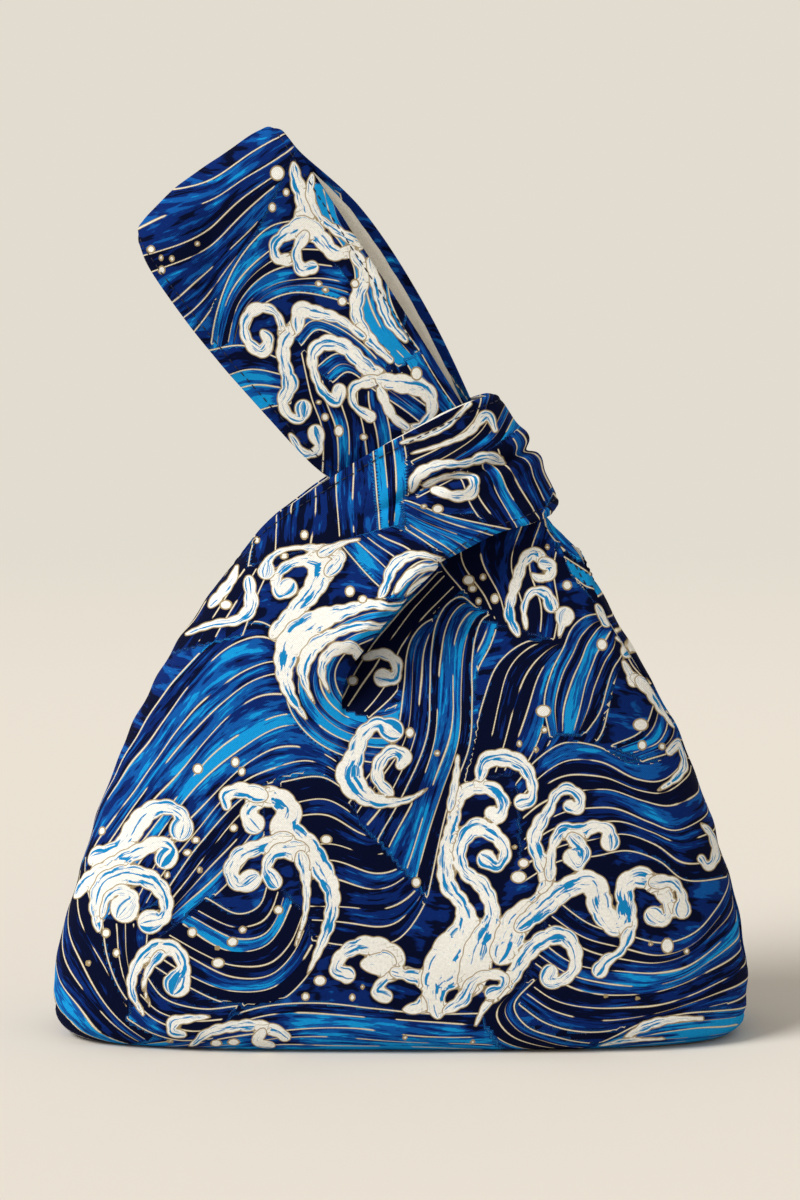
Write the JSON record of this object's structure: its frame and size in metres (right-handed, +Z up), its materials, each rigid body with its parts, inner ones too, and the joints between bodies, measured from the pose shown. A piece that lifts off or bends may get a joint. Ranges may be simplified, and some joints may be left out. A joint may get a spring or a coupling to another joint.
{
  "type": "knot bag",
  "caption": "Fabric wrist bag with a boxed flat bottom, its long handle loop passed through its short handle loop, in printed cotton with a plain lining.",
  "frame": {"origin": "middle of the flat bottom, on the surface the bag stands on", "axes": "+Z up, the front faces -Y, +X to the right when looking at the front"},
  "size_m": [0.2629, 0.1002, 0.3387],
  "materials": {
    "printed_cotton": "plain-woven cotton, printed in blues, white and pale gold, matte",
    "plain_lining": "plain-woven pale cotton, matte"
  },
  "bodies": {
    "root": {"outer_front_panel": "printed_cotton", "lining_front_panel": "plain_lining", "outer_back_panel": "printed_cotton", "lining_back_panel": "plain_lining"}
  },
  "joints": []
}
